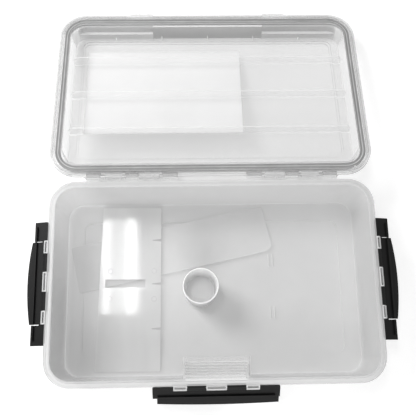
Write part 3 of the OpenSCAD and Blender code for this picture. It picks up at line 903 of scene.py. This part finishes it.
def lid_steps(s):
    """What is joined to the lid's skin and cut from it, in order."""
    h, top = s["hinge"], s["lid_z"] + s["lid_h"]
    front, rear = 24.5 - s["lid_hd"], s["lid_hd"] - 33
    half, y = (rear - front) / 2, (front + rear) / 2
    ledges = list(lid_ledges(s))
    steps = [("UNION", slab(plate_outline(153, half + 2, 8, y=y), s["lid_z"] + s["deck"] - 1.5,
                            top - 0.9)),
             ("DIFFERENCE", slab(plate_outline(151, half, 7, y=y), top - 1.5, top + 1)),
             ("UNION", together(lid_ribs(s))), ("UNION", together(ledges[:2])),
             ("UNION", ledges[2]), ("UNION", together(lid_ticks(s))),
             ("UNION", together(lid_tabs(s)))]
    knuckles = [rod(a, b, HINGE_R, h.y, h.z, 0.35) for a, b in both(LID_HINGE)]
    carriers = [block((a, s["lid_hd"] - 2, h.z), (b, h.y, h.z + HINGE_R))
                for a, b in both(LID_HINGE)]
    rooms = [rod(a - 0.4, b + 0.4, HINGE_R + 0.4, h.y, h.z) for a, b in both(BASE_HINGE)]
    return steps + [("UNION", together(knuckles)), ("UNION", together(carriers)),
                    ("DIFFERENCE", rod(-s["hw"], s["hw"], HINGE_PIN + TURNS, h.y, h.z)),
                    ("DIFFERENCE", together(rooms))]


class UTILITYBOX_OT_lid(bpy.types.Operator):
    """Moulds the lid, with its ribs, stepped front wall and knuckles, and lays it open"""

    bl_idname = "utility_box.lid"
    bl_label = "Lid"

    def execute(self, context):
        s = sizes(context)
        shell = carved(lid_skin(s), lid_steps(s))
        sort_lid_faces(shell, s, card_half(context))
        show("lid_shell_moulded", placed(shell, open_lid(s)),
             [lid_plastic(context), highlight_edge_plastic(context), rib_plastic(context),
              window_plastic(context), shaded_wall_plastic(context), band_plastic(context),
              hinge_plastic(context), slope_plastic(context)], "lid", "lid_clear", "lid_shell")
        return {"FINISHED"}


class UTILITYBOX_OT_seal(bpy.types.Operator):
    """Lays the soft seal in the lid's channel"""

    bl_idname = "utility_box.seal"
    bl_label = "Seal"

    def execute(self, context):
        s = sizes(context)
        z, crest = s["lid_z"], 1.25
        path = rounded([(5.75, 4.9, 0.3), (5.75, 1.6, 1.1), (7.9, 1.55, 0.3), (8.1, crest, 0.2),
                        (8.9, crest, 0.2), (9.1, 1.55, 0.3), (11.25, 1.6, 1.1),
                        (11.25, 4.9, 0.3)])
        band = ring_stack(s["lid_hw"], s["lid_hd"], s["lid_r"], [(k, z + v) for k, v in path],
                          tube=True)
        for f in band.faces:
            f.material_index = int(f.calc_center_median().z < z + crest + 0.11)
        show("lid_seal", placed(band, open_lid(s)), [seal_rubber(context), seal_bead(context)],
             "lid", "seal", "lid_gasket")
        return {"FINISHED"}


class UTILITYBOX_OT_card(bpy.types.Operator):
    """Lays a blank card in the shallow recess outside the lid's top"""

    bl_idname = "utility_box.card"
    bl_label = "Card"

    def execute(self, context):
        s = sizes(context)
        z = s["lid_z"] + s["lid_h"] - 1.47
        card = slab(plate_outline(*card_half(context), 1.2, *CARD_MIDDLE), z, z + 0.4, 0.08)
        show("blank_card", placed(card, open_lid(s)), coated_card(context), "lid", "card",
             "insert_card")
        return {"FINISHED"}


# ------------------------------------------------------------------ pins and latches

# In millimetres: how far out from its pin a latch's plate starts, the gap between its hook and
# the lid's band, and half the length of a side latch's grip.
PLATE_OUT, HOOK_GAP, SIDE_GRIP = 2.1, 0.35, 43.3


class UTILITYBOX_OT_pins(bpy.types.Operator):
    """Threads the hinge pins and the latch pins"""

    bl_idname = "utility_box.pins"
    bl_label = "Pins"

    def execute(self, context):
        s = sizes(context)
        h, wire = s["hinge"], pin_wire(context)
        spans = both([(BASE_HINGE[0][0], BASE_HINGE[-1][1])])
        for name, (a, b) in zip(("right", "left"), spans):
            show(f"hinge_wire_{name}", rod(a, b, HINGE_PIN, h.y, h.z, 0.3, 32), wire, "base",
                 "pin_steel", f"hinge_pin_{name}")
        low, high = min(a for a, b in KNUCKLES), max(b for a, b in KNUCKLES)
        for side in SIDES:
            pin = placed(rod(low, high, s["latch_pin"], width=0.3, sides=32), at_latch(s, side))
            show(f"latch_wire_{side}", pin, wire, "base", "pin_steel", f"latch_pin_{side}")
        return {"FINISHED"}


def latch_outline(half, grip, ear, end, mid, low):
    """Ears at both ends and a grip with a bowed edge between them, in X and up the plate."""
    first, last = grip
    bow = [(first + t * (last - first), end + 4 * (mid - end) * t * (1 - t))
           for t in (i / 24 for i in range(25))]
    return [(3 - half, low), (-half, low + 1.8), (-half, ear), (first, ear), *bow,
            (last, ear), (half, ear), (half, low + 1.8), (half - 3, low)]


def latch_mesh(s, grip, end, mid, opened, slit):
    """A latch in its shut place: X along its pin, -Y outward, Z up the plate.

    The plate's foot is cut off where it would go through the skirt when the latch is open.
    """
    half, inner, outer = s["latch_half"], PLATE_OUT, PLATE_OUT + s["plate"]
    a = math.radians(opened)
    low = max(0.2, (-0.3 - inner * math.cos(a)) / math.sin(a))
    hook = s["lid_z"] + s["band"] - s["latch_z"] + HOOK_GAP
    ear = hook + 3.6
    outline = latch_outline(half, grip, ear, ear + end, ear + mid, low)[::-1]
    plate = loft([[(x, y, z) for x, z in outline] for y in (-outer, -inner)])
    tooth = s["latch_r"] - 0.2
    teeth = [(x0 + 0.4, x1 - 0.4) for x0, x1 in TEETH]
    steps = [("UNION", block((5 - half, -inner - 0.6, hook), (half - 5, 0.3, hook + 2.2), 0.35)),
             ("UNION", together(rod(x0, x1, tooth) for x0, x1 in teeth)),
             ("UNION", together(block((x0, -outer, 0), (x1, 0, tooth)) for x0, x1 in teeth)),
             ("DIFFERENCE", rod(-half - 1, half + 1, s["latch_pin"] + TURNS)),
             ("DIFFERENCE", together(rod(x0 - 0.4, x1 + 0.4, s["latch_r"] + 0.4)
                                     for x0, x1 in KNUCKLES))]
    if slit:
        steps += [("DIFFERENCE", together(block((x - 0.5, -outer - 1, 7), (x + 0.5, 3, 40))
                                          for x in (grip[1] + 0.5, grip[0] - 0.5)))]
    return soften(carved(plate, steps), 0.3, 2, 40)


class UTILITYBOX_OT_latches(bpy.types.Operator):
    """Builds the front latch and the two side latches, standing open"""

    bl_idname = "utility_box.latches"
    bl_label = "Latches"

    def execute(self, context):
        s, black = sizes(context), black_plastic(context)
        half = s["latch_half"]
        for side in SIDES:
            opened = opened_by(f"{side}_latch_hinge")
            if side == "front":
                latch = latch_mesh(s, (4.5 - half, half - 1), 7, 8.8, opened, False)
            else:
                latch = latch_mesh(s, (-SIDE_GRIP, SIDE_GRIP), 2.2, 6.2, opened, True)
            turn = Matrix.Rotation(math.radians(opened), 4, "X")
            show(f"latch_{side}_moulded", placed(latch, at_latch(s, side) @ turn), black,
                 f"{side}_latch", "latch_black", f"latch_{side}")
        return {"FINISHED"}


# ------------------------------------------------------------------ loose pieces

# The long divider: how it lies turned, and in millimetres its gap to the walls and how much of
# its long and short edge the clipped corner takes.
LONG_TURN = math.radians(12.1)
LONG_GAP, LONG_CLIP = 0.6, (8, 4.8)

# The slotted divider: how it lies turned, and in millimetres its left edge from the floor's, its
# gap to the front and rear of the floor, and how far its low end stands over the floor.
SLOTTED_TURN = math.radians(-0.55)
SLOTTED_IN, SLOTTED_GAP, LOW_END = 31.2, 2.2, 0.5
# Its slot, from the plate's right edge, and its slits: length, and half width at mouth and tip.
SLOT_IN, SLOT_LONG, SLOT_SIDES = 17.5, 44.9, (0.2, 9.2)
SLIT_LONG, SLIT_MOUTH, SLIT_TIP = 9.7, 1.6, 0.35

# The cup: where it stands across the box, its gap to the long divider, and how much its foot's
# radius is less than its mouth's.
CUP_X, CUP_GAP, CUP_DRAFT = -14, 7.6, 1.6


def long_middle(s, p):
    """Where the long divider's middle lies, with its corners near the left and rear walls."""
    c, n = math.cos(LONG_TURN), math.sin(LONG_TURN)
    a, b = p.long_length / MM / 2, p.long_height / MM / 2
    return (-(s["hw"] - s["inset"]) + LONG_GAP + a * c + b * n,
            s["hd"] - s["inset"] - LONG_GAP - a * n - b * c)


def long_front_edge(s, p, across):
    """How far back the long divider's front edge lies, at a place across the box."""
    x, y = long_middle(s, p)
    half = p.long_height / MM / 2
    return y + (across - x) * math.tan(LONG_TURN) - half / math.cos(LONG_TURN)


def number_edges(plate):
    """Numbers a flat plate's faces: 0 its two sides, 1 its edges."""
    for f in plate.faces:
        f.material_index = int(abs(f.normal.z) < 0.9)


def long_divider(context, s, p):
    a, b = p.long_length / MM / 2, p.long_height / MM / 2
    clip, rise = LONG_CLIP
    outline = [q for q in ring(a, b, 2.5, 6) if not (q[0] > a - clip and q[1] < -b + 5)]
    plate = slab(outline + [(a - clip, -b), (a, -b + rise)], 0, p.divider / MM, 0.25)
    number_edges(plate)
    place = (Matrix.Translation((*long_middle(s, p), s["ring_floor"] + REST))
             @ Matrix.Rotation(LONG_TURN, 4, "Z"))
    show("long_divider_plate", placed(plate, place), [long_plastic(context), divider_highlight_edge(context)],
         "long_divider", "divider_clear", "divider_long")


def slotted_cuts(s, h, t):
    """The slits, spaced as the lid's ribs are, and the slot."""
    mouth, tip, slot = h / 2 + 1, h / 2 - SLIT_LONG, h / 2 - SLOT_IN
    for rib in reversed(s["rib_y"]):
        yield slab([(mouth, -rib - SLIT_MOUTH), (mouth, -rib + SLIT_MOUTH),
                    (tip, -rib + SLIT_TIP), (tip, -rib - SLIT_TIP)], -1, t + 1)
    yield block((slot - SLOT_LONG, SLOT_SIDES[0], -1), (slot, SLOT_SIDES[1], t + 1))


def slotted_marks(h, t):
    """Small raised rings in front of the slot and behind it."""
    slot = h / 2 - SLOT_IN
    profile = ((2.2, t - 0.2), (3, t - 0.2), (2.85, t + 0.3), (2.35, t + 0.3))
    for x in (slot - 39.7, slot + 9.7):
        for y in (18.4, -12.8):
            yield loft([[(x + a, y + b, z) for a, b in circle(r, 40)] for r, z in profile],
                       tube=True)


def slotted_divider(context, s, p):
    """The slotted divider, tilted, because its rear part lies on the long one."""
    h, taper, t = p.slotted_height / MM, p.slotted_taper / MM, p.divider / MM
    half = s["hd"] - s["inset"] - SLOTTED_GAP
    outline = [(x + taper * (0.5 + y / half / 2) * (0.5 - x / h), y)
               for x, y in plate_outline(h / 2, half, 2)]
    plate = carved(slab(outline, 0, t), [("DIFFERENCE", together(slotted_cuts(s, h, t))),
                                         ("UNION", together(slotted_marks(h, t)))])
    soften(plate, 0.2)
    number_edges(plate)
    left = -(s["hw"] - s["inset"]) + SLOTTED_IN
    run = long_front_edge(s, p, left - 2) + half
    tilt = math.atan((t + 3 * REST - LOW_END) / run)
    place = (Matrix.Translation((left + h / 2, -half, s["ring_floor"] + LOW_END))
             @ Matrix.Rotation(tilt, 4, "X") @ Matrix.Translation((0, half, 0))
             @ Matrix.Rotation(SLOTTED_TURN, 4, "Z"))
    show("slotted_divider_plate", placed(plate, place),
         [divider_plastic(context), divider_highlight_edge(context)], "slotted_divider", "divider_clear",
         "divider_slotted")


class UTILITYBOX_OT_dividers(bpy.types.Operator):
    """Lays the long divider on the floor and the slotted divider across it"""

    bl_idname = "utility_box.dividers"
    bl_label = "Dividers"

    def execute(self, context):
        s, p = sizes(context), context.scene.box_loose
        long_divider(context, s, p)
        slotted_divider(context, s, p)
        return {"FINISHED"}


class UTILITYBOX_OT_cup(bpy.types.Operator):
    """Turns the small white cup"""

    bl_idname = "utility_box.cup"
    bl_label = "Cup"

    def execute(self, context):
        s, p = sizes(context), context.scene.box_loose
        top, h = p.cup_mouth / MM / 2, p.cup_height / MM
        foot = top - CUP_DRAFT
        profile = rounded([
            (0.01, 0.5, 0), (foot - 3, 0.5, 0.3), (foot - 2.4, 0, 0.3), (foot, 0, 0.9),
            (top - 0.5, h - 1.6, 0.3), (top, h - 1.4, 0.3), (top, h, 0.45),
            (top - 1.2, h, 0.45), (top - 1.55, h - 1.2, 0.3), (foot - 1.2, 1.2, 1.6),
            (0.01, 1.2, 0)])
        y = long_front_edge(s, p, CUP_X) - (top + CUP_GAP) / math.cos(LONG_TURN)
        place = Matrix.Translation((CUP_X, y, s["floor"] + REST))
        show("white_cup", placed(turned(profile), place), cup_plastic(context), "cup",
             "cup_white", "sample_cup", sharp=50)
        return {"FINISHED"}


# ------------------------------------------------------------------ the stage

# The camera: its place in metres, its turns about X, Y and Z in degrees, and its lens.
CAMERA_PLACE = (-0.026, -0.104, 0.752)
CAMERA_TURN = (14.69, -1.67, -0.70)
LENS = 57.48

# The lamps: place, point aimed at, width, depth, all in metres, and power in watts. The windows
# stand where the slotted divider mirrors them to the camera.
LAMPS = {
    "key": ((-1.15, 0.85, 1.3), (0, 0.1, 0), 0.75, 0.75, 20),
    "fill": ((-0.2, -1.5, 1.0), (0, 0.1, 0), 1.2, 1.2, 14),
    "window": ((-0.26, 0.2195, 1.5), (-0.26, 0.2195, 0), 0.13, 0.317, 1.3),
    "window_left": ((-0.307, 0.2195, 1.49), (-0.307, 0.2195, 0), 0.029, 0.317, 0.5),
    "window_right": ((-0.2225, 0.2195, 1.49), (-0.2225, 0.2195, 0), 0.033, 0.317, 0.56),
}
WORLD_LIGHT = 0.34

# The table: half its width, the radius of its corners, its underside and top in millimetres, its
# shades, its glow near and far, and in metres where that starts and ends to change.
TABLE_HALF, TABLE_R, TABLE_Z = 6000, 900, (-20, -0.02)
TABLE_SHADES = (0.80, 0.82)
TABLE_GLOW, TABLE_FADE = (0.46, 1.0), (0.6, 2.2)


def photo_camera(scene):
    data = bpy.data.cameras.new("view")
    data.sensor_width, data.lens = 36, LENS
    data.clip_start, data.clip_end = 0.05, 20
    camera = bpy.data.objects.new("view", data)
    place = Matrix.Translation(CAMERA_PLACE)
    for degrees, axis in zip(CAMERA_TURN, "XYZ"):
        place @= Matrix.Rotation(math.radians(degrees), 4, axis)
    camera.matrix_world = place
    scene.collection.objects.link(camera)
    scene.camera = camera


def lamp(scene, name, place, target, width, depth, power):
    data = bpy.data.lights.new(name, "AREA")
    data.shape, data.size, data.size_y, data.energy = "RECTANGLE", width, depth, power
    o = bpy.data.objects.new(name, data)
    o.location = place
    o.rotation_euler = (Vector(target) - Vector(place)).to_track_quat("-Z", "Y").to_euler()
    scene.collection.objects.link(o)


def studio_world(scene):
    """An even light, which the camera, gloss and glass see as plain white."""
    world = bpy.data.worlds.new("studio")
    scene.world = world
    world.use_nodes = True
    tree = world.node_tree
    tree.nodes.clear()
    path = node(tree, "LightPath")
    first = node(tree, "Math", {0: path.outputs["Is Camera Ray"],
                                1: path.outputs["Is Transmission Ray"]}, operation="MAXIMUM")
    seen = node(tree, "Math", {0: first.outputs[0], 1: path.outputs["Is Glossy Ray"]},
                operation="MAXIMUM")
    light, white = [node(tree, "Background", {"Color": (1, 1, 1, 1), "Strength": strength})
                    for strength in (WORLD_LIGHT, 1.0)]
    mix = node(tree, "MixShader", {0: seen.outputs[0], 1: light.outputs[0], 2: white.outputs[0]})
    node(tree, "OutputWorld", {"Surface": mix.outputs[0]})


def table_white():
    """A pale coat that keeps the object's shadow and is plain white far away."""
    made = bpy.data.materials.new("White table")
    made.use_nodes = True
    tree = made.node_tree
    tree.nodes.clear()
    where = node(tree, "TexCoord")
    slow = node(tree, "TexNoise", {"Vector": where.outputs["Object"], "Scale": 3.0})
    shade = node(tree, "ValToRGB", {"Fac": slow.outputs["Fac"]})
    for stop, level in zip(shade.color_ramp.elements, TABLE_SHADES):
        stop.color = (level, level, level, 1)
    matt = node(tree, "BsdfDiffuse", {"Color": shade.outputs["Color"]})
    away = node(tree, "VectorMath", {0: where.outputs["Object"]}, operation="LENGTH")
    far = node(tree, "MapRange", {"Value": away.outputs["Value"], "From Min": TABLE_FADE[0],
                                  "From Max": TABLE_FADE[1], "To Min": TABLE_GLOW[0],
                                  "To Max": TABLE_GLOW[1]}, interpolation_type="SMOOTHSTEP")
    path = node(tree, "LightPath")
    part = node(tree, "Math", {0: path.outputs["Is Camera Ray"], 1: far.outputs["Result"]},
                operation="MULTIPLY")
    glow = node(tree, "Emission", {"Strength": part.outputs[0]})
    add = node(tree, "AddShader", {0: matt.outputs[0], 1: glow.outputs[0]})
    node(tree, "OutputMaterial", {"Surface": add.outputs[0]})
    return made


def white_table(scene):
    bm = loft([[(x, y, z) for x, y in ring(TABLE_HALF, TABLE_HALF, TABLE_R)] for z in TABLE_Z])
    floor = unlinked("table", placed(bm, Matrix.Scale(MM, 4)))
    scene.collection.objects.link(floor)
    floor.data.materials.append(table_white())


class UTILITYBOX_OT_stage(bpy.types.Operator):
    """Sets the pale floor, the soft lamps, the world and the camera"""

    bl_idname = "utility_box.stage"
    bl_label = "Stage"

    def execute(self, context):
        scene = context.scene
        scene.view_settings.view_transform = "Standard"
        scene.cycles.transparent_max_bounces = 32
        photo_camera(scene)
        for name, values in LAMPS.items():
            lamp(scene, name, *values)
        studio_world(scene)
        white_table(scene)
        return {"FINISHED"}


# ------------------------------------------------------------------ panel and registration


class UTILITYBOX_PT_panel(bpy.types.Panel):
    """Lists the pieces and their sizes"""

    bl_label = "Utility Box"
    bl_idname = "UTILITYBOX_PT_panel"
    bl_space_type = "VIEW_3D"
    bl_region_type = "UI"
    bl_category = "Utility Box"

    def draw(self, context):
        for title, group in (("Base", "box_base"), ("Lid", "box_lid"), ("Latches", "box_latch"),
                             ("Loose Pieces", "box_loose"), ("Finishes", "box_finish")):
            box = self.layout.box()
            box.label(text=title)
            values = getattr(context.scene, group)
            for name in values.__annotations__:
                box.prop(values, name)
        column = self.layout.column(align=True)
        for operator in OPERATORS:
            column.operator(operator.bl_idname)


GROUPS = {"box_base": BaseSizes, "box_lid": LidSizes, "box_latch": LatchSizes,
          "box_loose": LooseSizes, "box_finish": Finishes}
OPERATORS = (UTILITYBOX_OT_base, UTILITYBOX_OT_lid, UTILITYBOX_OT_seal, UTILITYBOX_OT_card,
             UTILITYBOX_OT_pins, UTILITYBOX_OT_latches, UTILITYBOX_OT_dividers,
             UTILITYBOX_OT_cup, UTILITYBOX_OT_stage)


def register():
    for group in GROUPS.values():
        bpy.utils.register_class(group)
    for name, group in GROUPS.items():
        setattr(bpy.types.Scene, name, PointerProperty(type=group))
    for operator in OPERATORS:
        bpy.utils.register_class(operator)
    bpy.utils.register_class(UTILITYBOX_PT_panel)


def unregister():
    bpy.utils.unregister_class(UTILITYBOX_PT_panel)
    for operator in reversed(OPERATORS):
        bpy.utils.unregister_class(operator)
    for name in GROUPS:
        delattr(bpy.types.Scene, name)
    for group in reversed(GROUPS.values()):
        bpy.utils.unregister_class(group)


def main():
    register()
    bpy.ops.utility_box.base()
    bpy.ops.utility_box.lid()
    bpy.ops.utility_box.seal()
    bpy.ops.utility_box.card()
    bpy.ops.utility_box.pins()
    bpy.ops.utility_box.latches()
    bpy.ops.utility_box.dividers()
    bpy.ops.utility_box.cup()
    bpy.ops.utility_box.stage()
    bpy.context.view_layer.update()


if __name__ == "__main__":
    main()
